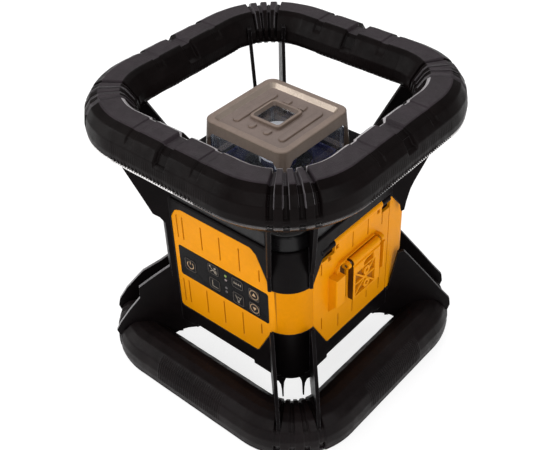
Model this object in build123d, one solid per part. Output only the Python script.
from build123d import *
import math
import os

# Rotating laser level. Millimetres, +Z up along the rotor axis, origin at the
# centre of the plane the bottom ring stands on. -Y is the keypad face (front),
# +Y the rear, +X the battery door face, -X the face with the second tripod thread.

# ---------------------------------------------------------------- dimensions
TOTAL_H = 266.0          # overall height
RING_HALF = 104.5        # ring centreline to axis, on the straight sides
TOP_RING_R = 55.0        # centreline corner radius, upper ring
BOT_RING_R = 44.0        # centreline corner radius, lower ring
RING_WALL = 2.6          # ring shell wall
TOP_PART_Z = 236.6       # parting plane of the upper ring
BOT_PART_Z = 9.0         # parting plane of the lower ring
PART_GAP = 0.1           # from a parting plane to the shell on either side

BODY_H = 76.0            # body half width
BODY_R = 24.0            # body corner radius
REAR_R = 10.0            # tighter corner between the door and the rear face
BODY_Z0, BODY_Z1 = 45.0, 176.0
SKIRT_Z0 = 41.5          # lowered skirts at the corners
WALL_IN = 70.0           # inner half width of the housing
WALL_IN_R = 18.0         # inner corner radius of the housing
CAVITY_Z0 = 49.0         # floor of the housing cavity
POCKET = 3.0             # depth of the pockets that take the covers
COVER_T = POCKET - 0.1   # thickness of the covers
GAP = 0.35               # gap round each cover
CUT_OUT = 9.0            # how far cover pockets are cut beyond the body face
BAND_Z0, BAND_Z1 = 92.5, 136.0    # bands of the covers that wrap round a corner
BASE_Z0, BASE_Z1 = 40.5, 45.9     # base plate
DECK_H = 74.0            # top cover half width
DECK_Z0, DECK_Z1 = 176.2, 190.0

PLATE_C = 16.0           # corner plates: distance from the diagonal plane
PLATE_T = 2.9            # corner plate thickness
PLATE_GAP = 0.12         # play round a plate in the slot that takes it
STRUT_C = 14.4           # rear left struts: distance from the diagonal at LEAN_Z
STRUT_LEAN = 2.4         # their lean, degrees
LEAN_Z = 257.0           # height about which they lean

HEAD_Z0, HEAD_Z1 = 191.0, 235.5
HEAD_H0, HEAD_H1 = 44.0, 40.7     # half widths at foot and top
HEAD_CAV = 37.6          # half width of the cavity
FIELD_Z = 232.0          # floor of the recess in the cap
CAP_RELIEF_Z = 231.6     # foot of the bars and frame in that recess
WINDOW_X, WINDOW_Y = -2.0, 1.5    # centre of the window in the cap

PIVOT_Z = 150.0          # gimbal centre
TRUNNION_R, TRUNNION_BORE_R = 2.5, 2.55
ARM = 59.0               # rotor axis to each levelling screw
CHASSIS_Z = (166.3, 169.3)
MOTOR_X, MOTOR_Y = -20.5, 20.5    # rotor motor axis
BIG_PULLEY_R, SMALL_PULLEY_R = 12.6, 5.15    # inner radii of the belt's arcs
BELT_T = 1.1

HINGE_X, HINGE_Z = 73.4, 160.2    # battery door hinge axis (along Y)
HINGE_BORE_R = 1.62
KNUCKLES = [(-40.0, -24.0), (38.0, 49.0)]    # y spans of the housing's knuckles
LATCH_X, LATCH_Z = 80.6, 133.6    # latch axis (along Y)

THREAD_R = 15.875 / 2 + 0.0025    # 5/8-11 nominal thread, half of 15.875, rounded up
INSERT_R = 12.0          # outer radius of both threaded inserts
INSERT_BORE_R = INSERT_R + 0.05
PORT_Z = 114.0           # height of the threaded insert on the -X face

CLEARANCE_R = 1.75       # screw clearance holes
PILOT_R = 1.65           # screw pilot holes
SHANK_R = 1.6            # screw shanks
PILLAR = 57.0            # corner pillars: x and y of their screws
LUG_X, LUG_Y = 65.0, 34.0         # top cover screws
CORNERS = [(sx, sy) for sx in (-1, 1) for sy in (-1, 1)]
PILLAR_SPOTS = [(sx * PILLAR, sy * PILLAR) for sx, sy in CORNERS]
LUG_SPOTS = [(sx * LUG_X, sy * LUG_Y) for sx, sy in CORNERS]
HEAD_SPOTS = [(40.6, 0.0), (0.0, 40.6), (-40.6, 0.0), (0.0, -40.6)]
RING_SPOTS = [(Rot(0, 0, 90 * k) * Pos(RING_HALF, t, 0)).position
              for k in range(4) for t in (-30.0, 30.0)]
RING_SPOTS = [(spot.X, spot.Y) for spot in RING_SPOTS]
SIDE_SPOTS = [(y, z) for y in (-41.0, 41.0) for z in (68.0, 160.0)]
REAR_SPOTS = [(x, z) for x in (-44.0, 33.0) for z in (68.0, 160.0)]


# ------------------------------------------------------------------- helpers
def box(x0, x1, y0, y1, z0, z1):
    return Pos((x0 + x1) / 2, (y0 + y1) / 2, (z0 + z1) / 2) * Box(x1 - x0, y1 - y0, z1 - z0)


def span(sign, near, far):
    """Ordered limits of near..far on the given side of zero."""
    return sorted((sign * near, sign * far))


def cyl_z(radius, z0, z1, x=0, y=0):
    return Pos(x, y, (z0 + z1) / 2) * Cylinder(radius, z1 - z0)


def cyl_x(radius, x0, x1, y, z):
    return Pos((x0 + x1) / 2, y, z) * Rot(0, 90, 0) * Cylinder(radius, x1 - x0)


def cyl_y(radius, y0, y1, x, z):
    return Pos(x, (y0 + y1) / 2, z) * Rot(90, 0, 0) * Cylinder(radius, y1 - y0)


def screw(cyl, spot, head, shank, socket=None):
    """Screw along the axis of cyl; head, shank and socket are (radius, start, end)."""
    solid = cyl(*head, *spot) + cyl(*shank, *spot)
    return solid - cyl(*socket, *spot) if socket else solid


def rrect(half, radius, z0, z1):
    return Pos(0, 0, z0) * extrude(RectangleRounded(2 * half, 2 * half, radius), z1 - z0)


def taper(h0, r0, z0, h1, r1, z1):
    """Rounded square of half width h0 lofted to one of half width h1."""
    foot = Pos(0, 0, z0) * RectangleRounded(2 * h0, 2 * h0, r0)
    top = Pos(0, 0, z1) * RectangleRounded(2 * h1, 2 * h1, r1)
    return loft([foot, top])


def poly(pts, radius=0.0):
    face = Polygon(*pts, align=None)
    return fillet(face.vertices(), radius) if radius else face


def grown(pts, radius, gap=GAP):
    return offset(poly(pts, radius), gap, kind=Kind.ARC)


def slot(u, z0, z1, width):
    """Upright slot face centred on u."""
    return Pos(u, (z0 + z1) / 2) * SlotOverall(z1 - z0, width, rotation=90)


def pad(u, z, width, height, radius):
    return Pos(u, z) * RectangleRounded(width, height, radius)


def front(face, y0, y1):
    """Face drawn in (x, z), filling y0..y1 (y0 < y1)."""
    return extrude(Plane.XZ.offset(-y1) * face, y1 - y0, dir=(0, -1, 0))


def side(face, x0, x1):
    """Face drawn in (y, z), filling x0..x1."""
    return extrude(Plane.YZ.offset(x0) * face, x1 - x0, dir=(1, 0, 0))


def rot4(shape):
    out = shape
    for k in (1, 2, 3):
        out = out + Rot(0, 0, 90 * k) * shape
    return out


def edges_at_height(shape, z):
    return shape.edges().filter_by_position(Axis.Z, z - 0.01, z + 0.01)


def edges_at(shape, axis, value):
    """Edges whose centre has the given coordinate; axis is "X" or "Y"."""
    return shape.edges().filter_by(lambda e: abs(getattr(e.center(), axis) - value) < 0.01)


def soften(shape, edges, radius):
    """Round edges where the shape allows it, trying smaller radii."""
    for k in (1.0, 0.6, 0.35):
        try:    # guards against a fillet that is too large for the shape
            got = fillet(edges, radius * k)
            if got.volume > 0 and all(s.is_valid for s in got.solids()):
                return got
        except Exception:
            pass
    return shape


def only(shape):
    """The largest solid, dropping slivers."""
    return sorted(shape.solids(), key=lambda s: s.volume)[-1]


def group(shapes):
    return Compound(children=[s for shape in shapes for s in shape.solids()])


# ------------------------------------------------- corner plates (diagonals)
# Outlines in (distance from axis along the diagonal, z).
UPPER_FOOT = [(64.0, 181.0), (64.0, 176.4), (84.0, 176.4)]
UPPER_PLATE = [
    (90.0, 137.0), (94.4, 137.0), (94.4, 149.5), (98.2, 156.0), (103.4, 160.0), (106.4, 168.0),
    (121.8, 207.5), (129.5, 229.0), (126.0, 240.5), (106.0, 240.5), (99.0, 243.5),
    (87.4, 223.0)] + UPPER_FOOT + [(88.0, 170.0)]
# rear left corner: slim leaning struts that run up the ring's inner wall
REAR_STRUT = [
    (86.0, 165.0), (97.0, 163.0), (103.4, 166.0), (106.4, 172.0), (121.8, 207.5), (129.5, 229.0),
    (126.0, 246.0), (112.0, 257.0), (99.5, 257.0), (99.0, 243.5), (87.4, 223.0)] + UPPER_FOOT
# rear right corner, door side: stands clear of the rear cover's side tab
UPPER_CLEAR = [
    (86.0, 166.0), (88.4, 163.4), (91.4, 160.2), (97.4, 152.2), (98.6, 144.4), (101.2, 145.6),
    (102.4, 154.5), (104.9, 166.5), (107.6, 174.3), (121.8, 207.5), (129.5, 229.0),
    (126.0, 240.5), (106.0, 240.5), (99.0, 243.5), (87.4, 223.0)] + UPPER_FOOT
LOWER_TAIL = [
    (148.3, 40.7), (149.4, 33.0), (147.6, 27.0), (136.0, 26.0), (124.0, 20.0), (108.0, 17.5),
    (100.4, 22.0), (95.6, 25.6), (91.0, 27.8), (86.0, 29.2), (76.0, 29.6), (74.0, 33.0),
    (74.0, 40.0), (84.6, 40.0), (84.6, 52.0)]
LOWER_PLATE = [
    (90.0, 91.6), (94.4, 91.6), (97.0, 103.0), (103.9, 100.6), (109.6, 93.2), (129.0, 66.9),
    (139.1, 52.7)] + LOWER_TAIL
# rear right corner, door side
LOWER_CLEAR = [
    (90.0, 57.6), (91.6, 58.6), (92.7, 64.0), (95.7, 82.0), (98.6, 99.6), (103.9, 100.6),
    (109.6, 93.2), (129.0, 66.9), (139.1, 52.7)] + LOWER_TAIL
# front right corner
LOWER_FRONT_RIGHT = [
    (90.0, 91.6), (94.4, 91.6), (97.0, 103.0), (103.9, 100.6), (109.6, 93.2), (129.0, 66.9),
    (136.4, 54.0), (141.6, 40.6), (143.0, 33.0), (141.0, 27.0)] + LOWER_TAIL[3:]
# front left corner: the plate toward the front face, then the one toward -X
LOWER_LEFT_FRONT = [
    (90.0, 91.6), (94.4, 91.6), (95.6, 103.3), (109.1, 93.3), (124.2, 81.4), (124.8, 69.3),
    (135.2, 55.9), (145.0, 41.4)] + LOWER_TAIL[1:]
LOWER_LEFT_SIDE = [
    (90.0, 88.0), (94.4, 88.0), (97.2, 89.4), (106.7, 82.2), (123.0, 71.9), (128.1, 66.4),
    (139.7, 53.0), (147.7, 40.2)] + LOWER_TAIL[1:]
# ridge joining upper and lower plates on the corners without a cover band
RIDGE = [(88.0, 90.0), (94.4, 90.0), (94.4, 139.0), (88.0, 139.0)]


def plate(outline, k, c, grow=0.0, lean=0.0):
    """Upright plate parallel to corner k's diagonal, offset c from it; lean
    tips its foot toward the diagonal, grow enlarges it all round."""
    thick = PLATE_T + 2 * grow
    face = Polygon(*outline, align=None)
    if grow:
        face = offset(face, grow, kind=Kind.INTERSECTION)
    plane = Plane(origin=(0, c + thick / 2, 0), x_dir=(1, 0, 0), z_dir=(0, -1, 0))
    body = extrude(plane * face, thick, dir=(0, -1, 0))
    if lean:
        tip = Rot(-math.copysign(lean, c), 0, 0)
        body = Pos(0, c, LEAN_Z) * tip * Pos(0, -c, -LEAN_Z) * body
    return Rot(0, 0, 45 + 90 * k) * body


def corner_plates(grow=0.0):
    """All plates; corners k run rear right, rear left, front left, front right."""
    made = []
    for k in range(4):
        for c in (-PLATE_C, PLATE_C):
            upper, lower, upper_c, lean = UPPER_PLATE, LOWER_PLATE, c, 0.0
            if k == 0 and c < 0:
                upper, lower = UPPER_CLEAR, LOWER_CLEAR
            if k == 1:
                upper, upper_c, lean = REAR_STRUT, math.copysign(STRUT_C, c), STRUT_LEAN
            if k == 2:
                lower = LOWER_LEFT_FRONT if c > 0 else LOWER_LEFT_SIDE
            if k == 3:
                lower = LOWER_FRONT_RIGHT
            made.append(plate(upper, k, upper_c, grow, lean))
            made.append(plate(lower, k, c, grow))
    return made


# ----------------------------------------------------------------- the rings
# Ring sections: (outward, z) of each point, then how far it moves in each
# direction per millimetre of inset.
TOP_SECTION = [
    (-8.8, TOTAL_H, 0.4, -1.0), (7.0, TOTAL_H, -0.4, -1.0), (14.2, 262.0, -0.7, -0.7),
    (19.3, 254.0, -1.0, -0.3), (20.6, 243.0, -1.0, 0.0), (19.0, 235.6, -1.0, 0.0),
    (13.0, 229.8, -0.5, 1.0), (-13.0, 237.2, 0.4, 1.0), (-19.6, 241.9, 1.0, 0.6),
    (-20.6, 245.5, 1.0, 0.0), (-19.6, 252.5, 1.0, -0.3), (-12.6, 263.0, 0.7, -0.8)]
# outer half of the lower ring; the inner half mirrors it
BOT_HALF_SECTION = [
    (8.5, 0.0, -0.5, 1.0), (15.5, 3.6, -0.7, 0.7), (19.6, 9.0, -1.0, 0.2),
    (20.9, 17.0, -1.0, 0.0), (20.5, 24.5, -1.0, 0.0), (17.4, 33.0, -0.8, -0.5),
    (10.8, 38.9, -0.5, -0.85), (3.6, 41.0, 0.0, -1.0)]
BOT_MIRRORED = [(-u, z, -du, dz) for u, z, du, dz in reversed(BOT_HALF_SECTION)]
BOT_SECTION = BOT_MIRRORED[-1:] + BOT_HALF_SECTION + BOT_MIRRORED[:-1]


def ring(section, inset, corner_r):
    """Closed square loop: the section swept round straight sides and
    quarter-circle corners."""
    face = Polygon(*[(u + du * inset, z + dz * inset) for u, z, du, dz in section], align=None)
    flat = RING_HALF - corner_r

    def placed(y):
        return Plane(origin=(RING_HALF, y, 0), x_dir=(1, 0, 0), z_dir=(0, -1, 0)) * face

    straight = extrude(placed(-flat), 2 * flat, dir=(0, 1, 0))
    corner = revolve(placed(flat), Axis((flat, flat, 0), (0, 0, 1)), 90)
    return rot4(straight + corner)


def split_ring(section, corner_r, part_z, slots):
    """Upper and lower ring shell, slotted for the corner plates."""
    shell = ring(section, 0.0, corner_r) - ring(section, RING_WALL, corner_r)
    above, below = part_z + PART_GAP, part_z - PART_GAP
    upper = shell & box(-200, 200, -200, 200, above, above + 150)
    lower = shell & box(-200, 200, -200, 200, below - 150, below)
    for cut in slots:
        upper, lower = upper - cut, lower - cut
    return upper, lower


def add_bosses(shell, boss_z, hole_z):
    """Screw bosses inside an upper shell, two on each side."""
    for spot in RING_SPOTS:
        shell = shell + cyl_z(4.2, *boss_z, *spot)
    for spot in RING_SPOTS:
        shell = shell - cyl_z(PILOT_R, *hole_z, *spot)
    return only(shell)


def top_ring(slots):
    upper, lower = split_ring(TOP_SECTION, TOP_RING_R, TOP_PART_Z, slots)
    for spot in RING_SPOTS:
        lower = lower + cyl_z(4.8, 231.4, TOP_PART_Z - PART_GAP, *spot)
        lower = lower - cyl_z(CLEARANCE_R, 228, 238, *spot) - cyl_z(3.6, 228, 233.0, *spot)
    return add_bosses(upper, (TOP_PART_Z + PART_GAP, 264.5), (236, 251)), only(lower)


def bottom_ring(slots):
    upper, lower = split_ring(BOT_SECTION, BOT_RING_R, BOT_PART_Z, slots)
    for spot in RING_SPOTS:
        lower = lower - cyl_z(CLEARANCE_R, -1, 10, *spot) - cyl_z(3.6, -1, 2.0, *spot)
    return add_bosses(upper, (BOT_PART_Z + PART_GAP, 39.0), (8, 23)), only(lower)


def ring_screws():
    screws = []
    for spot in RING_SPOTS:
        screws.append(screw(cyl_z, spot, (3.4, 231.6, 232.9), (SHANK_R, 232.9, 250.0),
                            (1.5, 231.5, 232.3)))
        screws.append(screw(cyl_z, spot, (3.4, 0.6, 1.9), (SHANK_R, 1.9, 22.0),
                            (1.5, 0.5, 1.2)))
    return group(screws)


# -------------------------------------------------------------- main housing
# Cover outlines, (x, z) on the front and rear faces, (y, z) on the others.
FRONT_PTS = [(-50.0, 60.0), (-50.0, 157.6), (-45.4, 165.8), (-38.6, 168.6), (35.6, 169.0),
             (41.0, 165.0), (54.6, 137.0), (54.6, 92.5), (38.4, 60.6)]
REAR_PTS = [(54.6, 92.5), (54.6, 136.0), (40.0, 162.6), (34.5, 168.0), (-50.0, 168.0),
            (-50.0, 60.0), (38.4, 60.6)]
REAR_TAB = [(49.4, 60.6), (54.2, 60.6), (66.4, 92.5), (66.4, 140.5), (64.6, 144.0),
            (51.4, 160.4), (49.4, 160.4)]
DOOR_PTS = [(-33.0, 60.0), (-51.0, 92.5), (-51.0, 135.0), (-39.0, 155.0), (-30.0, 160.2),
            (49.0, 160.2), (49.0, 60.0)]
SIDE_PTS = [(-48.0, 62.0), (-48.0, 166.0), (48.0, 166.0), (48.0, 62.0)]
# area of the +X face filled out round the rear cover's tab, (y, z)
FILL_PTS = [(46.0, 58.4), (55.4, 58.4), (68.0, 90.6), (80.0, 90.6), (80.0, 138.2),
            (69.4, 141.6), (66.0, 145.6), (52.4, 162.4), (46.0, 162.4)]
# leg under a corner, (across the corner, z)
LEG_PTS = [(5.2, 44.5), (15.0, 44.5), (15.0, 39.6), (11.8, 37.4), (10.2, 33.0), (9.5, 27.0),
           (9.2, 17.6), (8.0, 17.6), (7.8, 28.0), (7.2, 35.5), (5.2, 41.6)]


def band(corner_r, gap, out, depth):
    """Band round the body, from out beyond its face to depth below it."""
    z0, z1 = BAND_Z0 - gap, BAND_Z1 + gap
    return (rrect(BODY_H + out, corner_r + out, z0, z1)
            - rrect(BODY_H - depth, corner_r - depth, z0 - 1, z1 + 1))


def housing_shell(plates):
    """Hollow body with its corner plates and legs."""
    housing = rrect(BODY_H, BODY_R, BODY_Z0, BODY_Z1)
    skirt = (rrect(BODY_H, BODY_R, SKIRT_Z0, BODY_Z0 + 1)
             & box(33, 100, 33, 100, SKIRT_Z0, BODY_Z0 + 1))
    housing = housing + rot4(skirt)
    housing = soften(housing, edges_at_height(housing, BODY_Z1), 1.6)
    for corner_plate in plates:
        housing = housing + corner_plate
    for c in (-PLATE_C, PLATE_C):
        housing = housing + plate(RIDGE, 2, c) + plate(RIDGE, 1, c)
    # two legs under each corner that flare into the skirt, between the plates
    leg_plane = Plane(origin=(92.0, 0, 0), x_dir=(0, 1, 0), z_dir=(1, 0, 0))
    for k in range(4):
        for sign in (-1, 1):
            face = Polygon(*[(sign * c, z) for c, z in LEG_PTS], align=None)
            leg = extrude(leg_plane * face, 3.6, dir=(1, 0, 0))
            housing = housing + Rot(0, 0, 45 + 90 * k) * leg
    housing = housing - rrect(WALL_IN, WALL_IN_R, CAVITY_Z0, BODY_Z1 + 1)
    # foot opening over an inner ledge, then the seat for the base plate
    housing = housing - rrect(WALL_IN - 4.0, 16.0, 44.0, 50.0)
    return housing - rrect(WALL_IN - 0.6, 17.6, 33.0, 46.2)


def add_pillars_and_lugs(housing):
    for (sx, sy), pillar_spot, lug_spot in zip(CORNERS, PILLAR_SPOTS, LUG_SPOTS):
        # corner pillar that carries the chassis
        pillar = (cyl_z(5.2, CAVITY_Z0, 166.0, *pillar_spot)
                  + box(*span(sx, PILLAR, 64), *span(sy, PILLAR, 64), CAVITY_Z0, 166.0))
        housing = housing + (pillar & rrect(WALL_IN + 1, 18.5, CAVITY_Z0, 170))
        housing = housing - cyl_z(CLEARANCE_R, 152.0, 167.0, *pillar_spot)
        # lug for a top cover screw
        lug_y = sy * LUG_Y
        lug = box(*span(sx, 60, 71), lug_y - 5, lug_y + 5, 166.0, BODY_Z1)
        housing = housing + lug - cyl_z(PILOT_R, 165.0, 177.0, *lug_spot)
    return housing


def cut_pockets(housing):
    """Fill out the walls where needed, then cut the pockets for the covers."""
    cavity = rrect(WALL_IN, WALL_IN_R, CAVITY_Z0, BODY_Z1 + 1)
    # the rear right corner has a tighter radius under the rear cover's tab
    fill = side(Polygon(*FILL_PTS, align=None), 66.0, BODY_H) & rrect(BODY_H, REAR_R, 50, 170)
    housing = housing + (fill - cavity)
    fill = rrect(BODY_H, REAR_R, 90.6, 138.2) & box(50.5, 100, 50.5, 100, 60, 170)
    housing = housing + (fill - cavity)
    # thicker wall behind the hinge barrel
    housing = housing + box(65.0, 71.0, -52.0, 51.0, 152.5, 168.5)
    near, far = BODY_H - POCKET, BODY_H + CUT_OUT
    for pocket in (
        front(grown(FRONT_PTS, 4.0), -far, -near),
        band(BODY_R, GAP, CUT_OUT, POCKET) & box(52, 100, -100, -50.9, 60, 170),
        side(grown(DOOR_PTS, 3.0), near, far),
        side(grown(REAR_TAB, 0.6), near, BODY_H + 0.35),
        front(grown(REAR_PTS, 4.0), near, far),
        band(REAR_R, GAP, 0.35, POCKET) & box(49.05, 100, 49.05, 100, 60, 170),
        side(grown(SIDE_PTS, 6.0), -far, -near),
    ):
        housing = housing - pocket
    return housing


def cut_openings(housing):
    # hinge barrel channel
    housing = housing - cyl_y(4.2, -31.4, 49.4, HINGE_X, HINGE_Z)
    housing = housing - box(HINGE_X, 77.0, -31.4, 49.4, 156.0, HINGE_Z + 4.1)
    # battery window
    housing = housing - box(64.0, 77.0, -29.0, 43.0, 66.0, 148.0)
    # keypad window, for the key stems and the board
    housing = housing - box(-44.0, 50.5, -77.0, -69.0, 99.8, 131.4)
    # hinge knuckles, standing in notches of the door
    for y0, y1 in KNUCKLES:
        y0, y1 = y0 + 0.4, y1 - 0.4
        lug = (cyl_y(3.7, y0, y1, HINGE_X, HINGE_Z)
               + box(66.0, HINGE_X, y0, y1, HINGE_Z - 3.7, HINGE_Z + 5.0))
        housing = housing + lug
    housing = housing - cyl_y(HINGE_BORE_R, -46.0, 52.0, HINGE_X, HINGE_Z)
    # the thicker wall closed some of the lug holes: open them again
    for spot in LUG_SPOTS:
        housing = housing - cyl_z(PILOT_R, 165.0, 177.0, *spot)
    return only(housing)


def main_housing(plates):
    housing = add_pillars_and_lugs(housing_shell(plates))
    housing = cut_openings(cut_pockets(housing))
    for spot in PILLAR_SPOTS:
        housing = housing - cyl_z(PILOT_R, 44, 63, *spot)
    housing = only(housing)
    # wall thickened round the side insert
    housing = housing + cyl_x(14.5, -71.0, -68.2, 0, PORT_Z)
    housing = housing - cyl_x(INSERT_BORE_R, -80, -60, 0, PORT_Z)
    # bosses for the side and rear cover screws
    for spot in SIDE_SPOTS:
        housing = housing + cyl_x(4.0, -71.0, -64.5, *spot) - cyl_x(PILOT_R, -80, -64.0, *spot)
    for spot in REAR_SPOTS:
        housing = housing + cyl_y(4.0, 64.5, 71.0, *spot) - cyl_y(PILOT_R, 64.0, 80, *spot)
    return only(housing)


# ---------------------------------------------------------------- base plate
def base_plate():
    slab = rrect(WALL_IN - 0.9, 17.3, BASE_Z0, BASE_Z1)
    hub = cyl_z(17.0, BASE_Z0, 62.0)
    base = slab - rrect(58.0, 10.0, 40.0, 42.6) + hub
    for angle in (0, 45, 90, 135):
        base = base + (Rot(0, 0, angle) * box(-60, 60, -1.6, 1.6, 40.9, 44.5))
    base = base & (slab + hub)
    base = base - cyl_z(INSERT_BORE_R, 40.0, 60.0)
    for spot in PILLAR_SPOTS:
        base = base - cyl_z(CLEARANCE_R, 40, 47, *spot) - cyl_z(3.5, 40, 42.4, *spot)
    return only(base)


def base_screws():
    return group([screw(cyl_z, spot, (3.3, 41.0, 42.3), (SHANK_R, 42.3, 62.0),
                        (1.4, 40.9, 41.7)) for spot in PILLAR_SPOTS])


def tripod_insert():
    return cyl_z(INSERT_R, BASE_Z0, 58.0) - cyl_z(THREAD_R, 40.0, 59.0)


# ---------------------------------------------------- front cover and keypad
# key: x, z of its centre, width, height
KEYS = {
    "power_button": (-32.7, 114.4, 13.0, 13.0),
    "slope_button": (-6.1, 124.2, 12.4, 11.0),
    "mode_button": (-5.6, 109.0, 12.4, 12.0),
    "speed_button": (20.0, 123.6, 12.4, 10.4),
    "scan_button": (20.3, 107.6, 12.4, 12.4),
    "up_button": (37.4, 121.9, 11.6, 11.6),
    "down_button": (37.4, 107.4, 11.6, 11.6),
}
LAMPS = [(7.1, 124.6), (7.2, 120.4), (7.2, 112.0), (7.2, 107.8)]    # x, z
OVERLAY_PTS = [(-45.0, 99.0), (-45.0, 130.5), (51.8, 130.5), (51.8, 99.0)]    # x, z
# grooves in the front cover: x, lower z, upper z
FRONT_GROOVES = [
    (-44, 138.5, 162), (-37.7, 138.5, 162), (-17, 138.5, 162), (2.7, 138.5, 162),
    (23.3, 138.5, 162), (43.5, 139, 151), (-44, 67, 93.5), (-37.7, 69, 94.5),
    (-17, 69, 94.5), (2.7, 69, 94.5), (23.3, 69, 94.5), (43.5, 82.5, 94)]


def cut_keypad_holes(shape, key_gap, key_r, lamp_r):
    for x, z, width, height in KEYS.values():
        shape = shape - front(pad(x, z, width + key_gap, height + key_gap, key_r), -80, -70)
    for x, z in LAMPS:
        shape = shape - cyl_y(lamp_r, -80, -70, x, z)
    return shape


def front_cover():
    cover = front(poly(FRONT_PTS, 4.0), -BODY_H, -BODY_H + COVER_T)
    cover = cover & rrect(BODY_H, BODY_R, 40, 180)
    # the line where the flat face runs into the body's rounded corner stays sharp
    flat_x = BODY_H - BODY_R
    rim = edges_at(cover, "Y", -BODY_H).filter_by(lambda e: not abs(e.center().X - flat_x) < 0.05)
    cover = soften(cover, rim, 0.7)
    cover = cover + (band(BODY_R, 0, 0.0, COVER_T) & box(52, 100, -100, -51.2, 60, 170))
    cover = cover - front(grown(OVERLAY_PTS, 2.0, 0.12), -BODY_H - 1, -BODY_H + 0.8)
    cover = cut_keypad_holes(cover, 0.5, 2.6, 1.45)
    for groove in FRONT_GROOVES:
        cover = cover - front(slot(*groove, 1.3), -BODY_H - 1, -BODY_H + 0.9)
    return only(cover)


def keypad_overlay():
    overlay = front(poly(OVERLAY_PTS, 2.0), -BODY_H - 0.25, -BODY_H + 0.72)
    return only(cut_keypad_holes(overlay, 0.3, 2.5, 1.35))


def key(x, z, width, height):
    """Key cap with a wider flange at its inner end."""
    face_y, flange_y = -BODY_H - 0.55, -BODY_H + 3.2
    cap = front(pad(x, z, width, height, 2.35), face_y, flange_y)
    cap = soften(cap, edges_at(cap, "Y", face_y), 0.3)
    return cap + front(pad(x, z, width + 1.5, height + 1.5, 2.6), flange_y, -BODY_H + 3.9)


# ------------------------------------------------------- rear and side covers
def rear_cover():
    inner = BODY_H - COVER_T
    rear = front(poly(REAR_PTS, 4.0), inner, BODY_H)
    rear = soften(rear, edges_at(rear, "Y", BODY_H), 0.7)
    rear = rear + (band(REAR_R, 0, 0.0, COVER_T) & box(49.4, 100, 49.4, 100, 60, 170))
    rear = rear + (side(poly(REAR_TAB, 0.6), inner, BODY_H) & rrect(BODY_H, REAR_R, 50, 170))
    for x in (-38.0, -20.0, 0.0, 20.0, 38.0):
        for z0, z1 in ((139.0, 162.0), (67.0, 92.0)):
            rear = rear - front(slot(x, z0, z1, 1.3), BODY_H - 0.9, BODY_H + 1)
    # shallow rectangular recess
    rear = rear - front(pad(0, 115.5, 78, 34, 4), BODY_H - 0.8, BODY_H + 1)
    for spot in REAR_SPOTS:
        rear = rear - cyl_y(CLEARANCE_R, 60, 80, *spot) - cyl_y(3.4, BODY_H - 1.5, 80, *spot)
    return only(rear)


def side_cover():
    cover = side(poly(SIDE_PTS, 6.0), -BODY_H, -BODY_H + COVER_T)
    cover = soften(cover, edges_at(cover, "X", -BODY_H), 0.8)
    # raised disc round the insert
    disc_x = -BODY_H - 2.2
    cover = cover + cyl_x(21.0, disc_x, -BODY_H + 0.5, 0, PORT_Z)
    cover = soften(cover, edges_at(cover, "X", disc_x), 0.8)
    cover = cover - cyl_x(INSERT_BORE_R, -80, -70, 0, PORT_Z)
    for y in (-38.0, -30.0, 30.0, 38.0):
        cover = cover - side(slot(y, PORT_Z - 42.0, PORT_Z + 42.0, 1.6), -80, -BODY_H + 1.0)
    for spot in SIDE_SPOTS:
        cover = cover - cyl_x(CLEARANCE_R, -80, -60, *spot)
        cover = cover - cyl_x(3.4, -80, -BODY_H + 1.5, *spot)
    return only(cover)


def cover_screws():
    screws = []
    for spot in SIDE_SPOTS:
        screws.append(screw(cyl_x, spot, (3.2, -BODY_H + 0.2, -BODY_H + 1.4),
                            (SHANK_R, -BODY_H + 1.4, -65.5),
                            (1.3, -BODY_H + 0.1, -BODY_H + 0.8)))
    for spot in REAR_SPOTS:
        screws.append(screw(cyl_y, spot, (3.2, BODY_H - 1.4, BODY_H - 0.2),
                            (SHANK_R, 65.5, BODY_H - 1.4), (1.3, BODY_H - 0.8, BODY_H - 0.1)))
    return group(screws)


def side_insert():
    return (cyl_x(INSERT_R, -BODY_H - 2.0, -65.0, 0, PORT_Z)
            - cyl_x(THREAD_R, -80, -66.4, 0, PORT_Z))


# ------------------------------------------------------ battery door and latch
# grooves in the door: y, lower z, upper z
DOOR_GROOVES = [
    (-40.5, 138.5, 150), (-0.6, 141, 157), (19.5, 141, 157), (39, 139, 154), (-40.4, 80, 93),
    (-18.5, 67, 82), (1, 69, 82), (21, 70, 79), (38.5, 68, 92)]
# outer and inner outline of the seal groove, (y, z)
SEAL_OUTER = [(-31.4, 63.4), (-37.6, 74.6), (-37.6, 149.9), (47.4, 149.9), (47.4, 63.4)]
SEAL_INNER = [(-29.9, 66.0), (-35.0, 75.2), (-35.0, 148.4), (44.8, 148.4), (44.8, 66.0)]
LATCH_GAP_Y = (-12.4, 29.0)    # between the cheeks that carry the latch pin
CHEEK_T = 3.2
LATCH_Y = (-9.6, 26.6)
LATCH_FACE_X = 84.4


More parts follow.
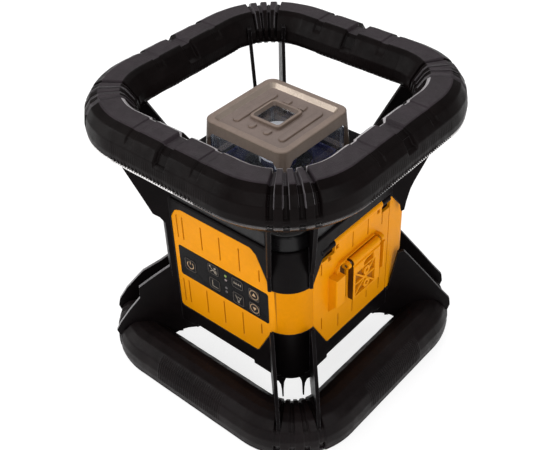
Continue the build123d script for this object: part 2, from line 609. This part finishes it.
def latch_mount(door):
    """Raised block with the well the latch lies in, and the pin's cheeks."""
    block = box(BODY_H - 0.5, 84.6, -32.0, 33.0, 93.0, 130.6)
    block = block - Pos(84.6, 0, 93.0) * Rot(0, 40, 0) * Box(14, 140, 14)
    uprights = block.edges().filter_by(Axis.Z).filter_by(lambda e: e.center().X > 84)
    block = soften(block, uprights, 1.2)
    hood_pts = [(-27.0, 130.0), (-20.0, 138.5), (26.0, 138.5), (33.0, 130.0)]
    door = door + block + side(poly(hood_pts, 1.5), BODY_H - 0.5, 79.0)
    # well, with wider gaps at both ends in y
    door = door - box(78.4, 90.0, -21.0, 30.6, 90.0, 131.5)
    door = door - box(76.6, 90.0, -21.0, -11.6, 97.0, 136.6)
    door = door - box(77.0, 90.0, 28.0, 30.6, 97.0, 131.5)
    door = door - cyl_y(4.4, *LATCH_GAP_Y, LATCH_X, LATCH_Z)
    door = door - box(78.4, 90, *LATCH_GAP_Y, 129.0, 138.6)
    gap_y0, gap_y1 = LATCH_GAP_Y
    for y0, y1 in ((gap_y0 - CHEEK_T, gap_y0), (gap_y1, gap_y1 + CHEEK_T)):
        door = door + (cyl_y(3.4, y0, y1, LATCH_X, LATCH_Z)
                       + box(BODY_H - 0.5, LATCH_X, y0, y1, LATCH_Z - 3.4, LATCH_Z + 3.4))
    return door - cyl_y(1.55, -17.0, 34.0, LATCH_X, LATCH_Z)


def battery_door():
    door = side(poly(DOOR_PTS, 3.0), BODY_H - POCKET + 0.3, BODY_H)
    rim = edges_at(door, "X", BODY_H).filter_by(lambda e: e.center().Z < 158)
    door = soften(door, rim, 0.7)
    door = door + (cyl_y(3.6, -30.8, 48.9, HINGE_X, HINGE_Z)
                   & box(60, 90, -60, 60, HINGE_Z - 3.0, 170))
    door = latch_mount(door)
    for groove in DOOR_GROOVES:
        door = door - side(slot(*groove, 1.4), BODY_H - 1.0, BODY_H + 1)
    # small near-square pockets in the upper part of the door
    for y, z in [(-21.0, 155.0), (-30.5, 149.0), (33.5, 156.0)]:
        door = door - side(pad(y, z, 3.6, 4.2, 0.6), BODY_H - 1.2, BODY_H + 1)
    # notches for the housing's knuckles; the one at the +Y end runs out of the door
    for y0, y1 in KNUCKLES:
        door = door - box(60.0, 90.0, y0, y1 + (1.0 if y1 > 40 else 0), 151.0, 170.0)
    door = door - cyl_y(HINGE_BORE_R, -60, 60, HINGE_X, HINGE_Z)
    # slot for the latch tongue
    door = door - box(70.0, 90.0, 1.4, 14.6, 93.0, 99.6)
    # seal groove on the back
    back = BODY_H - POCKET
    groove = (side(poly(SEAL_OUTER, 3.0), back, BODY_H - 1.6)
              - side(poly(SEAL_INNER, 2.0), back - 1, BODY_H))
    return only(door - groove)


def door_seal():
    back = BODY_H - POCKET
    outer = side(offset(poly(SEAL_OUTER, 3.0), -0.1), back + 0.02, BODY_H - 1.66)
    return only(outer - side(offset(poly(SEAL_INNER, 2.0), 0.1), back - 1, BODY_H))


def door_latch():
    latch = box(79.0, LATCH_FACE_X, *LATCH_Y, 94.6, 130.0)
    latch = soften(latch, latch.edges().filter_by(lambda e: e.center().X > 84.3), 0.9)
    latch = latch - box(82.2, 90.0, -7.2, 19.4, 96.8, 121.6)
    # crossed ribs and a level one in the recess
    y0, y1, z0, z1 = -7.4, 19.6, 97.0, 121.4
    length = math.hypot(y1 - y0, z1 - z0)
    ribs = []
    for rise in (z1 - z0, z0 - z1):
        turn = Rot(0, 0, math.degrees(math.atan2(rise, y1 - y0)))
        face = Pos((y0 + y1) / 2, (z0 + z1) / 2) * turn * Rectangle(length, 1.5)
        ribs.append(side(face, 82.0, 84.0))
    ribs.append(box(82.0, 84.0, y0, y1, 108.5, 110.0))
    recess = box(82.0, LATCH_FACE_X, -7.3, 19.5, 96.7, 121.7)
    for rib in ribs:
        latch = latch + (rib & recess)
    for z in (115.6, 101.8):
        latch = latch + cyl_x(4.2, 82.0, LATCH_FACE_X, 8.4, z)
        latch = latch - cyl_x(1.9, 81.2, 90.0, 8.4, z)
    # finger recess above the ribs
    finger_pts = [(4.0, 122.8), (4.0, 126.4), (9.0, 129.2), (17.0, 129.2), (17.0, 122.8)]
    latch = latch - side(poly(finger_pts), 81.6, 86)
    # barrel and tongue
    latch = latch + cyl_y(3.6, *LATCH_Y, LATCH_X, LATCH_Z)
    latch = latch + box(79.0, 83.4, *LATCH_Y, 127.0, 134.0)
    latch = latch - cyl_y(1.62, -20, 40, LATCH_X, LATCH_Z)
    return only(latch + box(74.6, 80.0, 2.2, 13.8, 95.0, 97.6))


# ------------------------------------------------------------------- battery
def battery_tray():
    tray = box(35.2, 69.9, -31.0, 45.0, 64.0, 140.6) - box(37.2, 75.0, -29.0, 43.0, 66.0, 138.6)
    return only(tray - box(34.0, 38.0, -2.0, 12.0, 92.0, 112.0))


def battery_pack():
    pack = box(39.2, 69.5, -27.6, 41.6, 68.0, 136.6)
    pack = soften(pack, pack.edges().filter_by(Axis.X), 3.0)
    for z in (80.0, 88.0, 96.0, 104.0, 112.0, 120.0):
        pack = pack - box(68.5, 71.0, -20.0, 30.0, z - 0.8, z + 0.8)
    return only(pack)


# ----------------------------------------------------------------- top cover
def top_cover(slots):
    deck = rrect(DECK_H, 22.0, DECK_Z0, DECK_Z1)
    deck = soften(deck, edges_at_height(deck, DECK_Z1), 2.2)
    deck = deck - rrect(64.0, 14.0, DECK_Z0 - 1, 186.0)
    deck = deck - cyl_z(31.0, 180, 195)
    for cut in slots:
        deck = deck - cut
    for (sx, sy), spot in zip(CORNERS, LUG_SPOTS):
        lug_y = sy * LUG_Y
        deck = deck + box(*span(sx, 60.5, 69.5), lug_y - 4.5, lug_y + 4.5, DECK_Z0, 187)
        deck = deck - cyl_z(CLEARANCE_R, 170, 195, *spot) - cyl_z(3.5, 187.5, 195, *spot)
    # keep the plate slots clear of the lugs too
    for cut in slots:
        deck = deck - cut
    for spot in HEAD_SPOTS:
        deck = deck - cyl_z(CLEARANCE_R, 180, 195, *spot) - cyl_z(3.4, 180, 187.4, *spot)
    return only(deck)


def top_cover_screws():
    return group([screw(cyl_z, spot, (3.2, 187.6, 189.2), (SHANK_R, 167.0, 187.6),
                        (1.4, 188.4, 190)) for spot in LUG_SPOTS])


# ---------------------------------------------------------------- laser head
# side opening of the head, (across, z)
OPENING_PTS = [(-36.6, 198.0), (-36.6, 219.4), (-30.6, 226.0), (30.6, 226.0), (36.6, 219.4),
               (36.6, 198.0)]


def head_seal():
    seal = rrect(43.4, 9.0, DECK_Z1 + 0.02, HEAD_Z0 - 0.02) - rrect(38.2, 5.0, 185, 195)
    for spot in HEAD_SPOTS:
        seal = seal - cyl_z(1.8, 185, 195, *spot)
    return only(seal)


def cap_pad(z, size, radius, height):
    """Rounded square block centred on the window in the cap."""
    return Pos(WINDOW_X, WINDOW_Y, z) * extrude(RectangleRounded(size, size, radius), height)


def head_cage():
    head = taper(HEAD_H0, 10.0, HEAD_Z0, HEAD_H1, 8.6, HEAD_Z1)
    head = soften(head, edges_at_height(head, HEAD_Z1), 1.2)
    # recessed field in the cap, with sloping sides
    head = head - taper(35.6, 5.4, HEAD_Z1 + 0.5, 32.2, 3.2, FIELD_Z)
    # raised bars, the middle two interrupted by the window
    bar_h, frame_h = 1.9, 3.0
    for x in (-22.2, -7.0, 8.2, 23.6):
        bar = Pos(x, 0.5, CAP_RELIEF_Z) * extrude(SlotOverall(50.0, 6.2, rotation=90), bar_h)
        bar = soften(bar, edges_at_height(bar, CAP_RELIEF_Z + bar_h), 1.0)
        if abs(x) < 12:
            bar = bar - box(x - 5, x + 5, -18.6, 18.6, 230, 235)
        head = head + bar
    # window frame, its opening and the seat for the pane
    frame = cap_pad(CAP_RELIEF_Z, 31.0, 4.0, frame_h)
    frame = soften(frame, edges_at_height(frame, CAP_RELIEF_Z + frame_h), 1.0)
    head = head + frame
    head = head - cap_pad(225, 26.0, 2.4, 15)
    head = head - cap_pad(225, 29.2, 3.0, 5.8)
    # cavity and side windows
    head = head - rrect(HEAD_CAV, 0.5, HEAD_Z0 - 1, 228.6)
    opening = poly(OPENING_PTS, 2.6)
    head = head - front(opening, -60, 60) - side(opening, -60, 60)
    for spot in HEAD_SPOTS:
        head = head - cyl_z(PILOT_R, 190, 197, *spot)
    return only(head)


def head_screws():
    return group([screw(cyl_z, spot, (3.2, 185.8, 187.3), (1.55, 187.3, 196.4))
                  for spot in HEAD_SPOTS])


def side_windows():
    pane = box(35.35, 37.5, -35.25, 37.0, 192.2, 228.4)
    return group([Rot(0, 0, 90 * k) * pane for k in range(4)])


def head_baffle():
    """Square tray with a round lipped opening."""
    opening = cyl_z(27.5, 189, 199)
    baffle = rrect(34.6, 6.0, 190.3, 197.0) - rrect(32.8, 5.0, 193.2, 199) - opening
    return only(baffle + (cyl_z(29.5, 190.3, 196.0) - opening))


# ------------------------------------------------------- chassis and gimbal
def chassis():
    frame = rrect(63.0, 12.0, *CHASSIS_Z) - cyl_z(50.5, 160, 175)
    for (sx, sy), spot in zip(CORNERS, PILLAR_SPOTS):
        lug_y = sy * LUG_Y
        frame = frame - cyl_z(CLEARANCE_R, 160, 175, *spot)
        frame = frame - box(*span(sx, 59, 72), lug_y - 6, lug_y + 6, 160, 175)
    # ears that hold the gimbal ring
    for sign in (-1, 1):
        ear = box(-8, 8, *span(sign, 48.6, 52.0), 142.5, 168)
        ear = ear + box(-8, 8, *span(sign, 48.6, 60.0), *CHASSIS_Z)
        frame = frame + ear
    # legs and seats for the two levelling motors
    for angle in (180, 270):
        cradle = box(50.0, 66.0, -15.5, 15.5, 99.0, 101.2) - cyl_z(2.4, 98, 102, ARM, 0)
        for sign in (1, -1):
            cradle = cradle + box(58.0, 66.0, *span(sign, 13.0, 15.5), 99.0, 168.0)
        cradle = cradle + box(50.6, 66.0, -15.5, 15.5, *CHASSIS_Z)
        frame = frame + Rot(0, 0, angle) * cradle
    frame = frame - cyl_y(TRUNNION_BORE_R, -54, 54, 0, PIVOT_Z)
    return only(frame - cyl_z(2.2, 160, 175, -ARM, 0) - cyl_z(2.2, 160, 175, 0, -ARM))


def chassis_screws():
    return group([screw(cyl_z, spot, (3.2, 169.4, 171.0), (SHANK_R, 153.0, 169.4))
                  for spot in PILLAR_SPOTS])


def gimbal_ring():
    gimbal = cyl_z(46.0, PIVOT_Z - 5, PIVOT_Z + 5) - cyl_z(40.5, 140, 160)
    gimbal = gimbal - cyl_x(TRUNNION_BORE_R, -50, 50, 0, PIVOT_Z)
    for sign in (-1, 1):
        gimbal = gimbal + cyl_y(TRUNNION_R, *span(sign, 45, 51.8), 0, PIVOT_Z)
    return only(gimbal)


def laser_carrier():
    carrier = cyl_z(20.0, 92.0, 168.0) + cyl_z(37.0, 168.0, 171.0)
    for sign in (-1, 1):
        carrier = carrier + box(*span(sign, 18, 38.5), -5, 5, PIVOT_Z - 5, PIVOT_Z + 5)
        carrier = carrier + cyl_x(TRUNNION_R, *span(sign, 38, 45.8), 0, PIVOT_Z)
    # levelling arms with forked ends
    for angle in (180, 270):
        arm = box(17, ARM + 5.4, -4.0, 4.0, 134.1, 135.9)
        arm = arm + box(ARM - 8.0, ARM + 5.4, -7.4, 7.4, 134.1, 135.9)
        arm = arm - (cyl_z(4.9, 130, 140, ARM, 0) + box(ARM, ARM + 10, -4.9, 4.9, 130, 140))
        carrier = carrier + Rot(0, 0, angle) * arm
    carrier = carrier - cyl_z(14.04, 90.0, 172.0)
    return only(carrier - cyl_z(2.6, 166, 172, MOTOR_X, MOTOR_Y))


def spindle_bearings():
    return group([cyl_z(14.0, z, z + 8.0) - cyl_z(9.04, z - 1, z + 9) for z in (124.0, 158.0)])


def levelling_nut(x, y):
    nut = cyl_z(2.5, 131.0, 139.0, x, y) + cyl_z(5.5, 130.0, 132.5, x, y)
    return nut + cyl_z(5.5, 137.5, 140.0, x, y) - cyl_z(1.66, 125, 145, x, y)


# ---------------------------------------------------------- rotor and its drive
def rotor_motor():
    return (cyl_z(8.0, 146.0, 167.9, MOTOR_X, MOTOR_Y)
            + cyl_z(2.5, 167.8, 171.6, MOTOR_X, MOTOR_Y))


def motor_pulley():
    groove = (cyl_z(7.0, 174.0, 177.8, MOTOR_X, MOTOR_Y)
              - cyl_z(5.0, 173, 179, MOTOR_X, MOTOR_Y))
    return cyl_z(6.0, 172.2, 179.6, MOTOR_X, MOTOR_Y) - groove


def belt_face(extra):
    """Belt outline, extra outside its inner surface: two arcs of short
    chords joined by tangent runs."""
    wrap = math.acos((BIG_PULLEY_R - SMALL_PULLEY_R) / math.hypot(MOTOR_X, MOTOR_Y))
    bearing = math.atan2(MOTOR_Y, MOTOR_X)
    # centre x, y, radius, start angle, end angle, chords
    arcs = [(0.0, 0.0, BIG_PULLEY_R, bearing + wrap, bearing + 2 * math.pi - wrap, 48),
            (MOTOR_X, MOTOR_Y, SMALL_PULLEY_R, bearing - wrap, bearing + wrap, 24)]
    pts = []
    for x, y, radius, start, end, chords in arcs:
        for i in range(chords + 1):
            angle = start + (end - start) * i / chords
            pts.append((x + (radius + extra) * math.cos(angle),
                        y + (radius + extra) * math.sin(angle)))
    return Polygon(*pts, align=None)


def drive_belt():
    width = 3.2
    belt = (extrude(belt_face(BELT_T), width, dir=(0, 0, 1))
            - extrude(belt_face(0.0), width, dir=(0, 0, 1)))
    return only(Pos(0, 0, 174.3) * belt)


def rotor_head():
    """Hollow spindle, pulley, base, slotted drum and a top ring, in one piece."""
    rotor = cyl_z(9.0, 122.0, 200.0) + cyl_z(13.6, 172.2, 179.6)
    rotor = rotor - (cyl_z(20.0, 174.0, 177.8) - cyl_z(12.4, 173.0, 179.0))
    drum = (cyl_z(15.0, 198.0, 219.0) - cyl_z(13.0, 197.0, 220.0)
            - box(-30, 30, -9.0, 9.0, 199.0, 215.6) - box(-7.0, 7.0, -30, 30, 199.0, 215.6))
    rotor = rotor + cyl_z(15.0, 193.0, 198.0) + drum
    rotor = rotor + (cyl_z(15.0, 216.6, 219.0) - cyl_z(9.0, 215, 222))
    return only(rotor - cyl_z(6.0, 120.0, 210.0))


def pentaprism():
    face = Polygon((-6.8, -5.4), (6.8, -5.4), (6.8, 5.0), (2.5, 8.6), (-6.8, 5.0), align=None)
    plane = Plane(origin=(0, 6.0, 205.44), x_dir=(1, 0, 0), z_dir=(0, -1, 0))
    return only(extrude(plane * face, 12.0, dir=(0, -1, 0)))


def main_board():
    """Board inside the rear wall, with four blocks on its inner face."""
    chips = (box(-30, -14, 57.0, 60.1, 110, 126) + box(4, 18, 58.0, 60.1, 96, 106)
             + box(-38, -24, 56.0, 60.1, 80, 92) + box(10, 26, 55.0, 60.1, 116, 132))
    return box(-48, 34, 60.0, 61.6, 74.0, 140.0) + chips


# ------------------------------------------------------------------- export
def build_parts():
    plates = corner_plates()
    slots = corner_plates(PLATE_GAP)
    top_upper, top_lower = top_ring(slots)
    bottom_upper, bottom_lower = bottom_ring(slots)
    parts = {
        "top_ring_upper_shell": top_upper,
        "top_ring_lower_shell": top_lower,
        "bottom_ring_upper_shell": bottom_upper,
        "bottom_ring_lower_shell": bottom_lower,
        "ring_screws": ring_screws(),
        "main_housing": main_housing(plates),
        "base_plate": base_plate(),
        "base_screws": base_screws(),
        "tripod_insert": tripod_insert(),
        "front_cover": front_cover(),
        "keypad_overlay": keypad_overlay(),
        "status_lights": group([cyl_y(1.25, -76.35, -71.6, x, z) for x, z in LAMPS]),
        "keypad_board": box(-43.5, 50.0, -71.4, -70.2, 101.5, 128.5),
        "rear_cover": rear_cover(),
        "side_cover": side_cover(),
        "cover_screws": cover_screws(),
        "side_insert": side_insert(),
        "battery_door": battery_door(),
        "door_seal": door_seal(),
        "hinge_pin": cyl_y(1.58, -44.5, 48.8, HINGE_X, HINGE_Z),
        "door_latch": door_latch(),
        "latch_pin": cyl_y(1.5, -15.4, 32.0, LATCH_X, LATCH_Z),
        "battery_tray": battery_tray(),
        "battery_pack": battery_pack(),
        "battery_terminals": group([box(37.3, 39.1, y - 1.2, y + 1.2, 94.0, 110.0)
                                    for y in (0.0, 5.0, 10.0)]),
        "top_cover": top_cover(slots),
        "top_cover_screws": top_cover_screws(),
        "head_seal": head_seal(),
        "head_cage": head_cage(),
        "head_screws": head_screws(),
        "side_windows": side_windows(),
        "plumb_window": cap_pad(228.8, 29.0, 2.9, 1.9),
        "head_baffle": head_baffle(),
        "chassis": chassis(),
        "chassis_screws": chassis_screws(),
        "gimbal_ring": gimbal_ring(),
        "laser_carrier": laser_carrier(),
        "laser_module": cyl_z(13.9, 92.4, 114.0) - cyl_z(4.0, 112.0, 115.0),
        "collimating_lens": cyl_z(13.9, 115.0, 119.0) & Pos(0, 0, 97.0) * Sphere(25.5),
        "level_sensor": box(-12, 12, -12, 12, 86.0, 91.8),
        "spindle_bearings": spindle_bearings(),
        "rotor_motor": rotor_motor(),
        "motor_pulley": motor_pulley(),
        "drive_belt": drive_belt(),
        "rotor_head": rotor_head(),
        "pentaprism": pentaprism(),
        "main_board": main_board(),
    }
    for name, data in KEYS.items():
        parts[name] = key(*data)
    motors = []
    for name, x, y in (("x", -ARM, 0.0), ("y", 0.0, -ARM)):
        motors.append(cyl_z(8.5, 78.0, 98.9, x, y))
        parts[name + "_lead_screw"] = (cyl_z(1.6, 99.2, 156.0, x, y)
                                       + cyl_z(2.6, 101.6, 103.4, x, y))
        parts[name + "_levelling_nut"] = levelling_nut(x, y)
    parts["levelling_motors"] = group(motors)
    return parts


os.makedirs("parts", exist_ok=True)
for name, shape in build_parts().items():
    export_step(shape, "parts/" + name + ".step")
